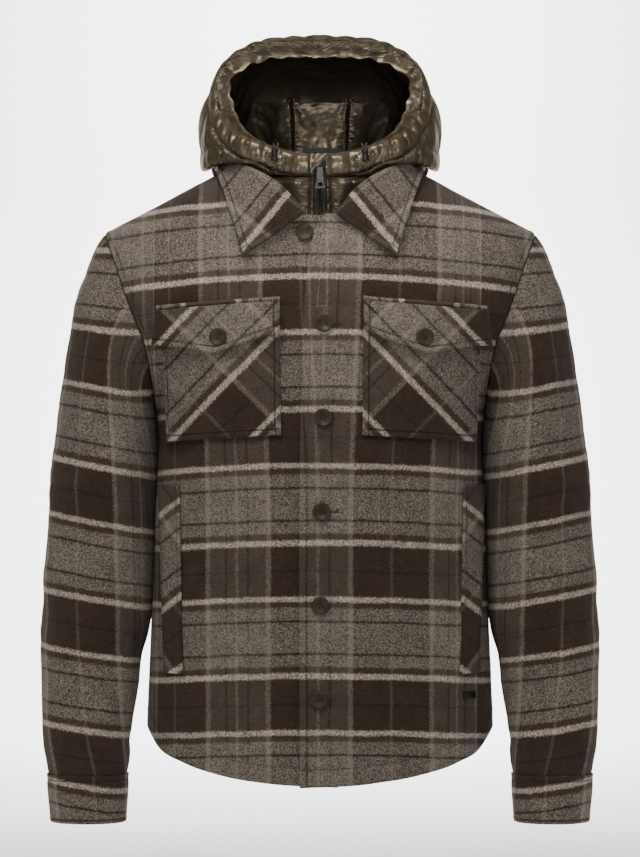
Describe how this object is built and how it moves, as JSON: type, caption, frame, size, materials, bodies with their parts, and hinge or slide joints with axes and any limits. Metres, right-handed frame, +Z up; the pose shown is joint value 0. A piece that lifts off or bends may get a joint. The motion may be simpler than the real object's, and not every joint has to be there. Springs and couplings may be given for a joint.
{
  "type": "hooded shirt jacket",
  "caption": "Plaid wool shirt jacket with flap chest pockets over a zipped quilted nylon bib and hood, in its worn form.",
  "frame": {"origin": "the middle of the neck level with the shoulders, where the wearer's shoulders hold the jacket", "axes": "+Z up, the front faces -Y, +X towards the wearer's left side"},
  "size_m": [0.6328, 0.2989, 0.8889],
  "materials": {
    "wool": "brushed wool in a plaid of grey, brown and white",
    "nylon": "glossy olive brown nylon, quilted",
    "horn": "dark brown horn-like resin",
    "metal": "dark gunmetal",
    "tape": "dark woven tape and cord"
  },
  "bodies": {
    "garment": {"back": "wool", "front_left": "wool", "front_right": "wool", "sleeve_left": "wool", "sleeve_right": "wool", "cuff_left": "wool", "cuff_right": "wool", "collar": "wool", "collar_stand": "wool", "chest_pocket_left": "wool", "chest_pocket_right": "wool", "pocket_flap_left": "wool", "pocket_flap_right": "wool", "flap_ridge_left": "wool", "flap_ridge_right": "wool", "side_welt_left": "wool", "side_welt_right": "wool", "hood": "nylon", "neck_band": "nylon", "bib_left": "nylon", "bib_right": "nylon", "zip_guard": "nylon", "button_1": "horn", "button_2": "horn", "button_3": "horn", "button_4": "horn", "button_5": "horn", "collar_button": "horn", "pocket_button_left": "horn", "pocket_button_right": "horn", "hem_plate": "metal", "zip_slider": "metal", "cord_lock_left": "metal", "cord_lock_right": "metal", "eyelet_1": "metal", "eyelet_2": "metal", "eyelet_3": "metal", "eyelet_4": "metal", "zip_tape_left": "tape", "zip_tape_right": "tape", "hanger_loop": "tape", "drawcord_left_inner": "tape", "drawcord_left_outer": "tape", "drawcord_right_inner": "tape", "drawcord_right_outer": "tape"},
    "pull": {"zip_pull": "metal"}
  },
  "joints": [
    {"name": "pull_hinge", "type": "hinge", "parent": "garment", "child": "pull", "pos_m": [0, -0.1093, 0.003], "axis": [-1, 0, 0], "range_deg": [0, 80]}
  ]
}
